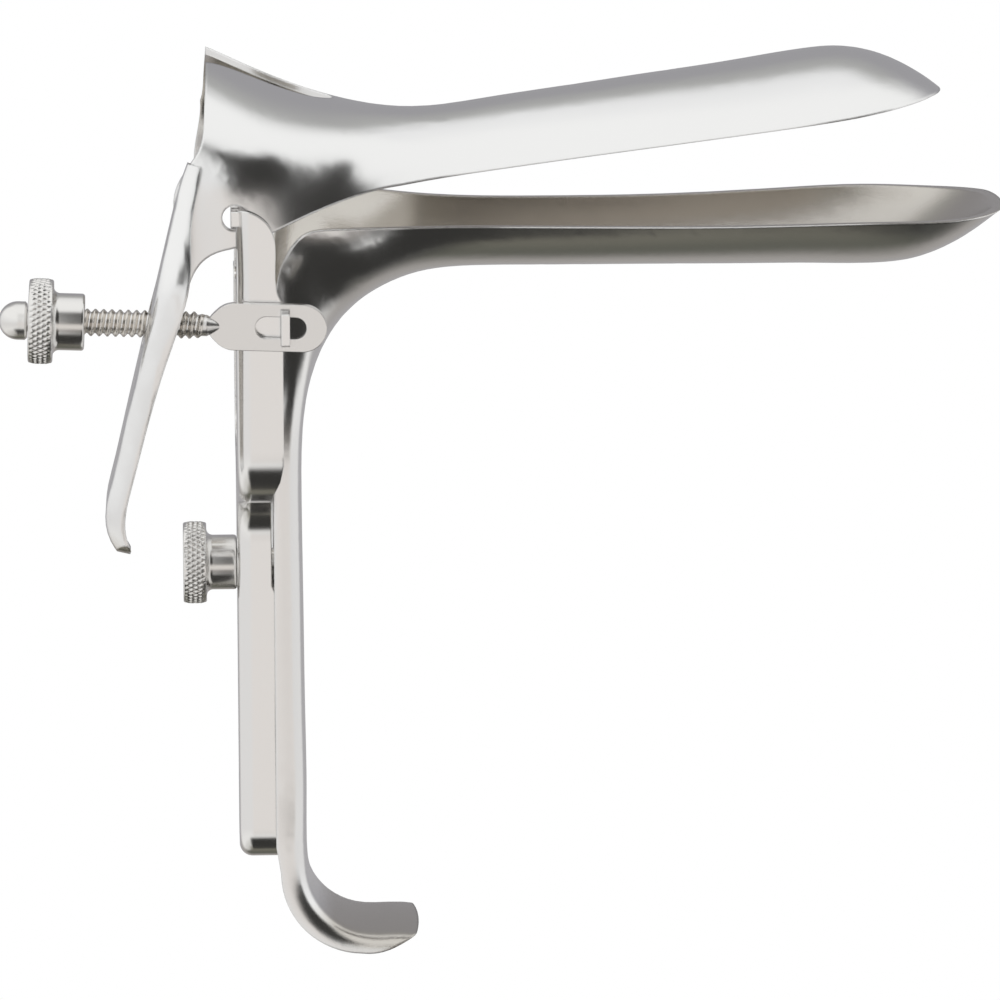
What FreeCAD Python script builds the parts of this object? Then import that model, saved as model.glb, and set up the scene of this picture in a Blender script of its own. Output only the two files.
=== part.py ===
import FreeCAD, Part
import math
import os

# Two-bladed speculum of pressed stainless sheet, in millimetres.
# +X points along the blades to their tips, +Z up, the thumb lever is on the -Y side.
# The origin lies on the axis of the clamp stud, in the plane of the handle's rims.

Vector = FreeCAD.Vector
DEG = math.pi / 180.0

doc = FreeCAD.newDocument("Speculum")
sheet = doc.addObject("Spreadsheet::Sheet", "Sizes")

SIZES = (
    # sheet metal
    ("blade_wall", 1.0, "thickness of both blades, the handle and the lever"),
    ("frame_wall", 1.25, "thickness of the sliding frame"),
    ("running_gap", 0.3, "free gap between faces that pass each other"),
    ("turning_gap", 0.05, "radial gap of a nut on its thread"),
    # lower blade and handle
    ("rim_height", 51.5, "height of the lower blade's rims above the stud"),
    ("lower_depth", 7.6, "depth of the lower trough along the blade"),
    ("lower_tip_x", 106.0, "tip of the lower blade"),
    ("tip_lift", 1.3, "how far the lower blade's rims rise to its tip"),
    ("nose_length", 18.0, "length over which a blade closes to its tip"),
    ("waist_half", 14.3, "half width of a blade at its narrowest"),
    ("blade_half", 17.5, "half width of a blade at its widest"),
    ("bend_centre_x", 30.0, "where the straight blade turns into the bend"),
    ("bend_centre_z", 15.0, "where the bend turns into the straight handle"),
    ("bend_power", 2.5, "fullness of the bend's curve, 2 is an ellipse"),
    ("funnel_gap", 1.1, "free gap between the funnel and the ears"),
    ("funnel_depth", 18.8, "depth of the funnel"),
    ("handle_half", 9.2, "half width of the handle"),
    ("handle_depth", 4.2, "depth of the handle's channel at the stud"),
    ("handle_corner", 2.8, "outer radius of the handle's corners"),
    ("handle_flare", 0.5, "how far the handle leans forward at its foot"),
    ("foot_centre_z", -44.0, "height of the centre of the foot's bend"),
    ("foot_radius", 9.9, "radius of the foot's bend along its crown"),
    ("foot_rim_radius", 11.85, "radius of the foot's bend along its rims"),
    ("foot_half", 10.6, "half width of the foot"),
    ("foot_reach", 23.2, "how far forward the foot ends"),
    # upper blade, measured from its pivot along its rims
    ("pivot_x", -5.3, "pivot, seen from the side"),
    ("pivot_z", 54.8, "height of the pivot"),
    ("rest_tilt", 8.2, "angle of the upper blade's rims at rest"),
    ("upper_length", 102.8, "from the pivot to the tip of the upper blade"),
    ("upper_rim_drop", 0.35, "how far the upper blade's rims lie below its pivot"),
    ("upper_depth", 8.0, "depth of the upper trough along the blade"),
    ("collar_rise", 20.8, "height of the collar's crown above the pivot"),
    ("ear_gap", 0.35, "free gap between an ear and the frame's arm"),
    ("waist_x", 31.0, "where the collar has run out into the blade"),
    ("pivot_hole", 1.76, "radius of the pivot hole in each ear"),
    ("notch_half", 5.0, "half width of the sight notch in the collar"),
    ("notch_end", 16.2, "front end of the sight notch"),
    # thumb lever
    ("lever_slope", 21.7, "lean of the lever from the upper blade's upright"),
    ("lever_length", 54.3, "length of the lever from the collar's corner"),
    ("lever_bend", 2.3, "outer radius of the lever's rounded edge"),
    ("lever_width", 12.6, "width of the lever below the ear"),
    ("lever_step", 3.8, "how far the lever reaches in behind the ear's outside"),
    ("lever_slot_length", 7.0, "length of the screw slot in the lever"),
    ("lever_slot_width", 4.4, "width of the screw slot in the lever"),
    # sliding frame
    ("frame_half", 26.0, "half width over the frame's arms"),
    ("frame_back", 5.3, "how far the frame's back lies behind the rims"),
    ("frame_front", 1.3, "how far the arms' flanges reach forward"),
    ("hook_cover", 1.2, "how far the arms' tops stand over the pivot"),
    ("arm_end_z", 21.5, "height where the arms turn inwards"),
    ("stem_half", 7.6, "half width of the frame's stem"),
    ("stem_bottom", 43.6, "how far the stem reaches below the stud"),
    ("stem_seat", 0.7, "how deep the stem sits in the handle's mouth"),
    ("frame_bend", 1.9, "outer radius of the frame's bends"),
    ("arm_curve", 9.0, "outer radius of the curve below each arm"),
    ("stem_curve", 7.0, "outer radius of the curve above the stem"),
    ("shoulder_turn", 78.0, "how far each arm turns inwards below its curve"),
    ("arch_curve", 8.0, "radius of the arch's corners between the arms"),
    ("arch_bottom", 15.2, "height of the arch's lowest edge"),
    ("stem_corner", 5.0, "outer radius of the stem's lower corners"),
    ("web_width", 6.0, "width of the back web of an arm"),
    ("web_top", 40.4, "height where an arm's web ends below the ear"),
    ("slot_half", 2.15, "half width of the stud's slot"),
    ("frame_travel", 30.0, "how far the frame slides up"),
    ("hook_set_back", 0.6, "how far the hook tab stands behind the frame's back"),
    ("hook_height", 2.2, "height of the hook tab in the pivot hole"),
    ("hook_lip", 4.4, "height of the lip inside the ear"),
    # clamp stud and the two like nuts
    ("stud_radius", 2.0, "radius of the clamp stud"),
    ("stud_foot_radius", 3.4, "radius of the stud's foot in the handle"),
    ("stud_foot", 0.8, "thickness of the stud's foot"),
    ("nut_flange_radius", 6.0, "radius of a nut's knurled flange"),
    ("nut_flange", 3.4, "thickness of a nut's knurled flange"),
    ("nut_hub_radius", 4.0, "radius of a nut's hub"),
    ("nut_hub", 4.4, "length of a nut's hub"),
    ("nut_fillet", 0.9, "slope between flange and hub"),
    ("nut_edge", 0.4, "chamfer of a nut's edges"),
    # adjusting screw
    ("lug_x", 1.6, "middle of the lug on the near arm"),
    ("lug_drop", 16.4, "how far the lug lies below the arms' tops"),
    ("lug_neck", 2.6, "height of the lug's neck"),
    ("lug_head", 5.3, "height of the lug's head"),
    ("lug_head_width", 1.4, "how far the lug's head reaches outwards"),
    ("screw_tilt", 2.1, "how much the screw rises to the rear at rest"),
    ("eye_half", 3.35, "half height of the screw's eye plate"),
    ("eye_plate", 1.2, "thickness of the eye plate"),
    ("eye_front", 2.5, "centre of the eye plate's round end, ahead of the lug"),
    ("eye_back", 10.7, "length of the eye plate behind the lug"),
    ("eye_slot_half", 1.55, "half height of the slot in the eye plate"),
    ("eye_slot_back", 4.2, "length of that slot behind the lug"),
    ("eye_slot_front", 3.0, "length of that slot ahead of the lug"),
    ("rod_radius", 1.5, "core radius of the screw thread"),
    ("nut_back", 28.1, "from the lug to the lever nut's hub at rest"),
    ("cap_radius", 2.7, "radius of the domed end stop"),
    ("cap_neck", 1.3, "length of the stop's cylinder"),
    ("rod_length", 36.1, "from the lug to the end stop"),
)

for row, (alias, value, note) in enumerate(SIZES, start=1):
    sheet.set("A%d" % row, alias)
    sheet.set("B%d" % row, str(value))
    sheet.set("C%d" % row, note)
    sheet.setAlias("B%d" % row, alias)
doc.recompute()


def size(alias):
    """The value of one named size."""
    return float(sheet.get(alias))


def smooth(start, end, value):
    """Eases from 0 at start to 1 at end."""
    part = min(1.0, max(0.0, (value - start) / (end - start)))
    return part * part * (3.0 - 2.0 * part)


def mix(first, second, share):
    return first + (second - first) * share


def mixed_section(first, second, share):
    """A section between two sections that have as many points."""
    return [(mix(a[0], b[0], share), mix(a[1], b[1], share)) for a, b in zip(first, second)]


# A section is half of a symmetric curve: points (out, drop) from the crown to the rim,
# out sideways and drop below the crown, evenly spaced along the sheet.
SECTION_STEPS = 9
FINE_STEPS = 40


def evenly(points, steps=SECTION_STEPS):
    """The same curve with evenly spaced points."""
    lengths = [0.0]
    for first, second in zip(points, points[1:]):
        lengths.append(lengths[-1] + math.dist(first, second))
    spaced = []
    index = 0
    for step in range(steps + 1):
        target = lengths[-1] * step / steps
        while index < len(points) - 2 and lengths[index + 1] < target:
            index += 1
        span = lengths[index + 1] - lengths[index]
        share = (target - lengths[index]) / span if span else 0.0
        spaced.append(tuple(mix(a, b, share) for a, b in zip(points[index], points[index + 1])))
    return spaced


def arc_section(half, depth, leg):
    """A round arc from the crown to the rim, run on straight past the rim."""
    radius = (half * half + depth * depth) / (2.0 * depth)
    whole = math.atan2(half, radius - depth)
    points = []
    for step in range(FINE_STEPS + 1):
        turn = whole * step / FINE_STEPS
        points.append((radius * math.sin(turn), radius * (1.0 - math.cos(turn))))
    points.append((half + leg * math.cos(whole), depth + leg * math.sin(whole)))
    return evenly(points)


def hoop_section(half, depth, leg):
    """Half an ellipse with upright sides, run on straight down by a leg."""
    points = []
    for step in range(FINE_STEPS + 1):
        turn = 90.0 * DEG * step / FINE_STEPS
        points.append((half * math.sin(turn), depth * (1.0 - math.cos(turn))))
    points.append((half, depth + leg))
    return evenly(points)


def channel_section(half, depth, corner, leg):
    """A channel with a faintly crowned back, round corners and upright sides."""
    crowned = 0.35
    points = []
    for step in range(FINE_STEPS + 1):
        out = (half - corner) * step / FINE_STEPS
        points.append((out, crowned * (out / (half - corner)) ** 2))
    for step in range(1, FINE_STEPS + 1):
        turn = 90.0 * DEG * step / FINE_STEPS
        out = half - corner + corner * math.sin(turn)
        points.append((out, crowned + corner * (1.0 - math.cos(turn))))
    points.append((half, max(depth, crowned + corner) + leg))
    return evenly(points)


def skin(stations):
    """Rows of a pressed surface. A station is (crown x, crown z, inward angle, section)."""
    rows = []
    for crown_x, crown_z, angle, section in stations:
        inward = Vector(math.cos(angle * DEG), 0, math.sin(angle * DEG))
        crown = Vector(crown_x, 0, crown_z)
        right = [crown + inward * drop + Vector(0, out, 0) for out, drop in section]
        left = [crown + inward * drop - Vector(0, out, 0) for out, drop in section[:0:-1]]
        rows.append(left + right)
    return rows


def shares_along(lines):
    """Shares from 0 to 1 for the points of like lines, after their mean spacing."""
    steps = []
    for index in range(len(lines[0]) - 1):
        spans = [line[index].distanceToPoint(line[index + 1]) for line in lines]
        steps.append(sum(spans) / len(spans))
    shares = [0.0]
    for step in steps:
        shares.append(shares[-1] + step / sum(steps))
    shares[-1] = 1.0
    return shares


def line_through(points, shares):
    line = Part.BSplineCurve()
    line.interpolate(Points=points, Parameters=shares)
    return line


def surface_through(rows):
    """A smooth face through a grid of points, skinned over its rows."""
    across = shares_along(rows)
    along = shares_along(list(zip(*rows)))
    sections = [line_through(row, across) for row in rows]
    columns = []
    for poles in zip(*[section.getPoles() for section in sections]):
        columns.append(line_through(list(poles), along))
    net = [list(row) for row in zip(*[column.getPoles() for column in columns])]
    first, second = columns[0], sections[0]
    surface = Part.BSplineSurface()
    surface.buildFromPolesMultsKnots(
        net,
        first.getMultiplicities(),
        second.getMultiplicities(),
        first.getKnots(),
        second.getKnots(),
        False,
        False,
        first.Degree,
        second.Degree,
    )
    return surface.toShape()


def curve(points):
    """A smooth edge through points given as (x, z)."""
    line = Part.BSplineCurve()
    line.interpolate([Vector(x, 0, z) for x, z in points])
    return line.toShape()


def straight(points):
    """Straight edges through points given as (x, z)."""
    ends = [Vector(x, 0, z) for x, z in points]
    return [Part.makeLine(a, b) for a, b in zip(ends, ends[1:])]


def side_prism(edges, start_y, end_y):
    """A solid whose side view is the closed outline, between two places along Y."""
    outline = Part.Face(Part.Wire(Part.__sortEdges__(edges)))
    outline.translate(Vector(0, start_y, 0))
    return outline.extrude(Vector(0, end_y - start_y, 0))


def pressed_sheet(rows, keep, cuts, wall):
    """A sheet between a skin through rows of points and its like one wall further in, then trimmed."""
    outer = surface_through(rows)
    spots = outer.Surface
    along = shares_along(list(zip(*rows)))
    across = shares_along(rows)
    inner_rows = []
    for u, row in zip(along, rows):
        inner_rows.append([point - spots.normal(u, v) * wall for v, point in zip(across, row)])
    inner = surface_through(inner_rows)
    sides = [Part.makeRuledSurface(a, b) for a, b in zip(outer.Edges, inner.Edges)]
    solid = Part.makeSolid(Part.makeShell([outer, inner] + sides))
    solid.fix(0.001, 0.001, 0.01)
    if solid.Volume < 0:
        solid.reverse()
    solid = solid.common(keep)
    for cut in cuts:
        solid = solid.cut(cut)
    return max(solid.Solids, key=lambda piece: piece.Volume)


def collar_half():
    """Half width of the collar over its ears, which pass inside the frame's arms."""
    return size("frame_half") - size("frame_wall") - size("ear_gap")


def funnel_half():
    """Half width of the lower blade's funnel, which passes inside the ears."""
    return collar_half() - size("blade_wall") - size("funnel_gap")


def frame_top():
    """Height of the frame's arms, which carry the pivot's hooks."""
    return size("pivot_z") + size("hook_cover")


def lug_place():
    """Middle of the lug, over the near arm."""
    return Vector(size("lug_x"), 0, frame_top() - size("lug_drop"))


def sheet_part(name, shape):
    item = doc.addObject("Part::Feature", name)
    item.Shape = shape
    return item


def nose_section(share, half, depth, bluntness, fullness):
    """Section and height of the crown over the rims at a share of a blade's closing nose."""
    left = max(1.0 - share * share, 0.0)
    crown = depth * (1.0 - share ** fullness)
    local_half = max(half * left ** bluntness, 4.0)
    return arc_section(local_half, max(crown, 0.35), 4.0), crown


NOSE_SHARES = (0.0, 0.25, 0.5, 0.7, 0.86, 0.97, 1.07)
SIDE_REACH = 60.0
FAR = 120.0


def upper_stations():
    """Sections of the upper blade, with the pivot at the origin and the rims along X."""
    waist_x = size("waist_x")
    depth = size("upper_depth")
    nose_x = size("upper_length") - size("nose_length")
    rise = size("collar_rise") - depth
    ear_top = 3.0
    ear_leg = 18.0
    stations = []
    for x in (-16.0, -10.0, -5.0, 0.0, 5.0, 10.0, 15.0, 20.0, 25.5, waist_x, 38.0, 50.0, 62.0, 74.0):
        back = max(0.0, (waist_x - x) / waist_x)
        crown = depth - 0.15 + rise * back ** 1.75
        half = mix(collar_half(), size("waist_half"), smooth(0.0, waist_x, x))
        if x > waist_x:
            half = mix(size("waist_half"), size("blade_half"), smooth(waist_x + 4.0, nose_x, x))
        blade = arc_section(half, crown, 4.0)
        collar = hoop_section(half, crown - ear_top, ear_leg)
        stations.append((x, crown, -90.0, mixed_section(collar, blade, smooth(1.0, 24.0, x))))
    for share in NOSE_SHARES:
        section, crown = nose_section(share, size("blade_half"), depth, 0.55, 2.3)
        stations.append((nose_x + share * size("nose_length"), crown, -90.0, section))
    return stations


def lever_point(along, proud):
    """A place on the lever's line: along it from the collar's corner, and proud of its back."""
    slope = size("lever_slope") * DEG
    start = Vector(-6.2, 0, 8.0)
    down = Vector(-math.sin(slope), 0, -math.cos(slope))
    back = Vector(-math.cos(slope), 0, math.sin(slope))
    return start + down * along + back * proud


def lever_rows():
    """The lever's strip: a web that faces the thumb, a round bend and a short flange."""
    length = size("lever_length")
    collar = collar_half()
    inner = collar - size("lever_step")
    outer = inner + size("lever_width")
    middle = collar - size("blade_wall") / 2.0
    inner_edge = inner - 1.0
    # along, outer edge, inner edge, depth of the flange, how proud the web stands
    stations = (
        (-1.0, collar + 1.5, middle, 2.1, -0.5),
        (3.0, collar + 2.5, middle, 2.6, -0.1),
        (7.5, collar + 5.0, middle, 3.0, 0.0),
        (12.0, mix(collar, outer, 0.85), middle, 4.0, 0.0),
        (17.0, outer - 0.2, middle - 0.6, 4.4, 0.0),
        (22.0, outer, inner_edge, 4.1, 0.0),
        (28.0, outer, inner_edge, 3.5, 0.0),
        (36.0, outer, inner_edge, 3.1, 0.0),
        (length - 10.0, outer - 0.1, inner_edge, 2.9, 0.0),
        (length - 6.0, outer - 0.2, inner_edge, 2.9, -0.05),
        (length - 3.5, outer - 0.3, inner_edge, 2.9, -0.6),
        (length - 1.5, outer - 0.4, inner_edge, 2.9, -1.7),
        (length, outer - 0.5, inner_edge, 2.9, -3.2),
        (length + 1.2, outer - 0.5, inner_edge, 2.9, -5.0),
    )
    rows = []
    for along, out, inner, depth, proud in stations:
        bend = min(size("lever_bend"), (out - middle) * 0.8)
        bend = min(bend, depth * 0.8)
        strip = [(inner, 0.0)]
        for step in range(FINE_STEPS + 1):
            turn = 90.0 * DEG * step / FINE_STEPS
            strip.append((out - bend + bend * math.sin(turn), bend * (1.0 - math.cos(turn))))
        strip.append((out, depth))
        rows.append(
            [lever_point(along, proud - drop) - Vector(0, across, 0) for across, drop in evenly(strip)]
        )
    return rows


def lever_trim():
    """The lever's rounded end, cut square to its line."""
    length = size("lever_length")
    inner = collar_half() - size("lever_step")
    outer = inner + size("lever_width") + 1.0
    slope = size("lever_slope")
    round_out = 5.0
    round_in = 4.2
    low = -length
    points = [
        Vector(0, -outer, 4.0),
        Vector(0, -outer, low + round_out),
        Vector(0, -outer + round_out, low),
        Vector(0, -inner - round_in, low),
        Vector(0, -inner, low + round_in),
        Vector(0, -inner, 4.0),
    ]
    corner = math.sqrt(0.5)
    mid_out = Vector(0, -outer + round_out * (1.0 - corner), low + round_out * (1.0 - corner))
    mid_in = Vector(0, -inner - round_in * (1.0 - corner), low + round_in * (1.0 - corner))
    edges = [
        Part.makeLine(points[0], points[1]),
        Part.Arc(points[1], mid_out, points[2]).toShape(),
        Part.makeLine(points[2], points[3]),
        Part.Arc(points[3], mid_in, points[4]).toShape(),
        Part.makeLine(points[4], points[5]),
        Part.makeLine(points[5], points[0]),
    ]
    tongue = Part.Face(Part.Wire(edges)).extrude(Vector(30.0, 0, 0))
    tongue.Placement = FreeCAD.Placement(
        lever_point(0.0, 12.0), FreeCAD.Rotation(Vector(0, 1, 0), slope)
    )
    return tongue


def screw_slot():
    """The upright slot in the lever that the adjusting screw passes through."""
    half = size("lever_slot_width") / 2.0
    straight_half = size("lever_slot_length") / 2.0 - half
    across = screw_y()
    pivot = Vector(size("pivot_x"), 0, size("pivot_z"))
    turn = FreeCAD.Rotation(Vector(0, 1, 0), size("rest_tilt"))
    lug = turn.multVec(lug_place() - pivot)
    reach = Vector(-math.cos(screw_angle()), 0, math.sin(screw_angle()))
    # the lever's line, met by the screw's axis
    slope = size("lever_slope") * DEG
    back = Vector(-math.cos(slope), 0, math.sin(slope))
    start = lever_point(0.0, 0.0)
    run = (start - lug).dot(back) / reach.dot(back)
    centre = lug + reach * run
    ends = []
    for side in (-1.0, 1.0):
        shift = Vector(math.sin(slope), 0, math.cos(slope)) * (straight_half * side)
        ends.append(centre + shift - Vector(0, across, 0) - back * 8.0)
    bores = [Part.makeCylinder(half, 16.0, end, back) for end in ends]
    low, high = ends
    width = Vector(0, half, 0)
    strip = Part.Face(Part.makePolygon([low - width, low + width, high + width, high - width, low - width]))
    return bores[0].fuse([bores[1], strip.extrude(back * 16.0)])


def screw_y():
    """How far out the screw's axis lies."""
    return size("frame_half") + size("running_gap") + size("eye_plate") / 2.0


def screw_angle():
    """Rise of the screw's axis to the rear, seen in the upper blade's own frame."""
    return (size("screw_tilt") + size("rest_tilt")) * DEG


def collar_trim():
    """Side outline of the upper blade: rims, ears and the collar's back edge."""
    drop = size("upper_rim_drop")
    rear = [
        (-15.4, -14.6),
        (-8.3, 2.0),
        (-5.9, 7.4),
        (-3.3, 10.4),
        (-2.1, 14.5),
        (-1.0, 20.0),
        (-0.2, 26.0),
    ]
    rims = [
        (24.0, -drop),
        (20.0, -drop),
        (14.5, -0.95),
        (9.0, -2.0),
        (4.0, -3.3),
        (0.0, -4.2),
        (-3.5, -4.6),
        (-5.9, -5.9),
        (-7.6, -8.2),
        (-8.9, -11.2),
        (-9.8, -14.6),
    ]
    edges = [curve(rear[1:]), curve(rims)]
    edges += straight([rear[0], rear[1]])
    edges += straight([rims[-1], rear[0]])
    edges += straight([rear[-1], (rear[-1][0], 50.0), (FAR, 50.0), (FAR, -drop), rims[0]])
    return side_prism(edges, -SIDE_REACH, SIDE_REACH)


def far_ear_cut():
    """The far ear carries no lever: it ends in a rounded corner behind its hole."""
    radius = 5.6
    edges = straight([(-20.0, -20.0), (-20.0, 30.0), (-3.2, 30.0), (-3.2, 10.4)])
    edges.append(curve([(-3.2, 10.4), (-4.3, 6.0), (-radius, 1.0), (-5.3, -2.2), (-3.4, -4.6)]))
    edges += straight([(-3.4, -4.6), (-3.4, -20.0), (-20.0, -20.0)])
    return side_prism(edges, 0.0, SIDE_REACH)


def sight_notch():
    """The notch in the collar's crown, open to the rear."""
    half = size("notch_half")
    end = size("notch_end")
    # its back corners are rounded, and it is widest a little ahead of them
    left = [
        (-20.0, half + 9.0),
        (-2.0, half + 6.0),
        (-0.4, half + 2.8),
        (2.0, half + 1.2),
        (end - half - 1.0, half - 0.3),
        (end - 1.4, half - 2.4),
    ]
    points = [Vector(x, -y, 0) for x, y in left]
    tip = Vector(end, 0, 0)
    mirrored = [Vector(p.x, -p.y, 0) for p in reversed(points)]
    line = Part.BSplineCurve()
    line.interpolate(points[1:] + [tip] + mirrored[:-1])
    edges = [
        line.toShape(),
        Part.makeLine(mirrored[-2], mirrored[-1]),
        Part.makeLine(mirrored[-1], points[0]),
        Part.makeLine(points[0], points[1]),
    ]
    return Part.Face(Part.Wire(edges)).extrude(Vector(0, 0, 60.0))


def make_upper_blade():
    """Collar, ears, blade and thumb lever, pressed from one sheet."""
    bore = Part.makeCylinder(size("pivot_hole"), 2 * SIDE_REACH, Vector(0, -SIDE_REACH, 0), Vector(0, 1, 0))
    wall = size("blade_wall")
    hood = pressed_sheet(
        skin(upper_stations()), collar_trim(), (far_ear_cut(), sight_notch(), bore), wall
    )
    lever = pressed_sheet(lever_rows(), lever_trim(), (screw_slot(),), wall)
    blade = doc.addObject("Part::Fuse", "upper_blade")
    blade.Base = sheet_part("hood", hood)
    blade.Tool = sheet_part("lever", lever)
    blade.Placement = FreeCAD.Placement(
        Vector(size("pivot_x"), 0, size("pivot_z")),
        FreeCAD.Rotation(Vector(0, 1, 0), -size("rest_tilt")),
    )
    return blade


# Place round the bend in degrees up from the handle, and how far the trough has widened and
# deepened there, as shares of the whole way from the handle or blade out to the funnel.
BEND_STATIONS = (
    (75.0, 0.29, 0.13),
    (66.0, 0.61, 0.37),
    (59.0, 0.87, 0.71),
    (53.0, 1.0, 1.0),
    (46.0, 0.87, 0.775),
    (38.0, 0.61, 0.457),
    (28.0, 0.31, 0.219),
    (18.0, 0.13, 0.1),
    (8.0, 0.03, 0.04),
)


FUNNEL_TURN = 53.0


def bend_place(turn):
    """A point of the crown's bend, a full quarter curve from the handle up to the blade."""
    centre_x = size("bend_centre_x")
    centre_z = size("bend_centre_z")
    power = 2.0 / size("bend_power")
    reach = centre_x - size("handle_depth") - 0.1
    drop = size("rim_height") - size("lower_depth") - centre_z
    across = max(0.0, math.cos(turn * DEG)) ** power
    up = max(0.0, math.sin(turn * DEG)) ** power
    return Vector(centre_x - reach * across, 0, centre_z + drop * up)


def lower_stations():
    """Sections of the lower blade from its tip, round the bend and down to the foot."""
    rim = size("rim_height")
    depth = size("lower_depth")
    nose_x = size("lower_tip_x") - size("nose_length")
    bend_x = size("bend_centre_x")
    stations = []
    for share in reversed(NOSE_SHARES):
        section, drop = nose_section(share, size("blade_half"), depth, 0.36, 1.9)
        crown = rim - drop + size("tip_lift") * share ** 4
        stations.append((nose_x + share * size("nose_length"), crown, 90.0, section))
    for share in (0.83, 0.66, 0.5, 0.34, 0.17, 0.0):
        x = mix(bend_x, nose_x, share)
        half = mix(size("waist_half"), size("blade_half"), smooth(0.1, 1.0, share))
        stations.append((x, rim - depth, 90.0, arc_section(half, depth, 4.0)))
    for turn, widened, deepened in BEND_STATIONS:
        upper_side = turn > FUNNEL_TURN
        half = mix(size("waist_half" if upper_side else "handle_half"), funnel_half(), widened)
        deep = mix(depth if upper_side else size("handle_depth"), size("funnel_depth"), deepened)
        here = bend_place(turn)
        heading = bend_place(turn - 2.0) - bend_place(turn + 2.0)
        inward = math.degrees(math.atan2(heading.z, heading.x)) % 360.0 - 90.0
        blade = arc_section(half, deep, 4.0)
        channel = channel_section(half, deep, size("handle_corner"), 2.5)
        trough = mixed_section(channel, hoop_section(half, deep, 2.5), smooth(8.0, 45.0, turn))
        section = mixed_section(trough, blade, smooth(55.0, 82.0, turn))
        stations.append((here.x, here.z, inward, section))
    return stations + handle_stations()


def handle_stations():
    """Sections of the straight handle and of the foot that turns forward below it."""
    depth = size("handle_depth")
    half = size("handle_half")
    corner = size("handle_corner")
    flare = size("handle_flare")
    radius = size("foot_radius")
    centre_z = size("foot_centre_z")
    foot_x = depth + flare + radius
    stations = []
    for share in (0.0, 0.3, 0.6, 0.85):
        z = mix(size("bend_centre_z") - 4.0, centre_z, share)
        section = channel_section(half, depth + flare * share, corner, 2.0)
        stations.append((depth + flare * share, z, 180.0, section))
    for turn in (0.0, 25.0, 50.0, 75.0, 92.0):
        share = turn / 90.0
        x = foot_x - radius * math.cos(turn * DEG)
        z = centre_z - radius * math.sin(turn * DEG)
        section = channel_section(mix(half, size("foot_half"), share), depth + flare, corner, 3.0)
        stations.append((x, z, 180.0 + turn, section))
    end = size("foot_reach")
    low = centre_z - radius
    for x, drop, turn in ((end - 3.0, 0.1, 266.0), (end - 0.2, 0.8, 252.0), (end + 2.4, 2.2, 240.0)):
        section = channel_section(size("foot_half"), depth + flare, corner, 3.0)
        stations.append((x, low - drop, turn, section))
    return stations


def lower_trim():
    """What lies on the hollow side of the lower blade's rims, seen from the side."""
    rim = size("rim_height")
    tip = size("lower_tip_x")
    flare = size("handle_flare") * 1.3
    foot_rim = size("foot_rim_radius")
    foot_x = flare + foot_rim
    foot_z = size("foot_centre_z") - 0.9
    lift = size("tip_lift")
    rims = [
        (tip + 4.0, rim + lift * 1.5),
        (tip, rim + lift),
        (tip - 4.0, rim + lift * 0.7),
        (tip - 9.0, rim + 0.7),
        (tip - 18.0, rim + 0.75),
        (tip - 31.0, rim + 0.4),
        (tip - 46.0, rim),
        (tip - 65.0, rim),
        (21.0, rim + 0.4),
        (8.5, rim + 1.0),
        (4.6, rim + 0.5),
        (2.3, rim - 1.9),
        (1.0, rim - 5.0),
        (0.3, rim - 10.0),
        (0.0, rim - 16.0),
    ]
    corner = math.sqrt(0.5)
    handle_low = foot_z + 4.0
    under = foot_z - foot_rim
    end = size("foot_reach")
    arc = Part.Arc(
        Vector(flare, 0, foot_z),
        Vector(foot_x - foot_rim * corner, 0, foot_z - foot_rim * corner),
        Vector(foot_x, 0, under),
    ).toShape()
    toe = [(foot_x, under), (end - 7.4, under + 0.3), (end - 3.8, under + 1.8)]
    toe += [(end - 1.2, under + 3.2), (end + 0.4, under + 5.3), (end + 0.9, under + 7.0)]
    edges = [curve(rims), arc, curve(toe)]
    edges += straight([rims[-1], (0.0, handle_low), (flare, foot_z)])
    edges += straight([toe[-1], (end + 12.0, under + 7.0), (end + 12.0, -80.0), (-40.0, -80.0)])
    edges += straight([(-40.0, -80.0), (-40.0, 90.0), (rims[0][0], 90.0), rims[0]])
    return side_prism(edges, -SIDE_REACH, SIDE_REACH)


def foot_trim():
    """Round end of the foot, seen from above: what is cut off."""
    half = size("foot_half") + 0.8
    end = size("foot_reach")
    start = end - 5.5
    low = size("foot_centre_z") - size("foot_radius") - 12.0
    points = []
    for step in range(9):
        turn = mix(-90.0, 90.0, step / 8.0) * DEG
        points.append(Vector(start + (end - start) * math.cos(turn), half * math.sin(turn), low))
    line = Part.BSplineCurve()
    line.interpolate(points)
    wide = half + 12.0
    far = end + 15.0
    corners = [points[-1], Vector(start, wide, low), Vector(far, wide, low), Vector(far, -wide, low)]
    corners += [Vector(start, -wide, low), points[0]]
    edges = [line.toShape()] + [Part.makeLine(a, b) for a, b in zip(corners, corners[1:])]
    return Part.Face(Part.Wire(edges)).extrude(Vector(0, 0, 24.0))


def make_lower_blade():
    """Lower blade, funnel, handle and foot, pressed from one sheet."""
    cuts = (lower_trim(), foot_trim())
    everything = Part.makeBox(240.0, 120.0, 240.0, Vector(-60.0, -60.0, -120.0))
    return sheet_part(
        "lower_blade",
        pressed_sheet(skin(lower_stations()), everything, cuts, size("blade_wall")),
    )


def new_body(name):
    """A body whose label is the name of its file."""
    body = doc.addObject("PartDesign::Body", name)
    body.Label = name
    return body


def sketch_on(body, name, role, shift=0.0):
    """An empty sketch on one of the body's own origin planes, moved along the plane's normal."""
    flat = body.newObject("Sketcher::SketchObject", name)
    plane = [feature for feature in body.Origin.OriginFeatures if feature.Role == role][0]
    flat.AttachmentSupport = [(plane, "")]
    flat.MapMode = "FlatFace"
    flat.AttachmentOffset = FreeCAD.Placement(Vector(0, 0, shift), FreeCAD.Rotation())
    return flat


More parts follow.
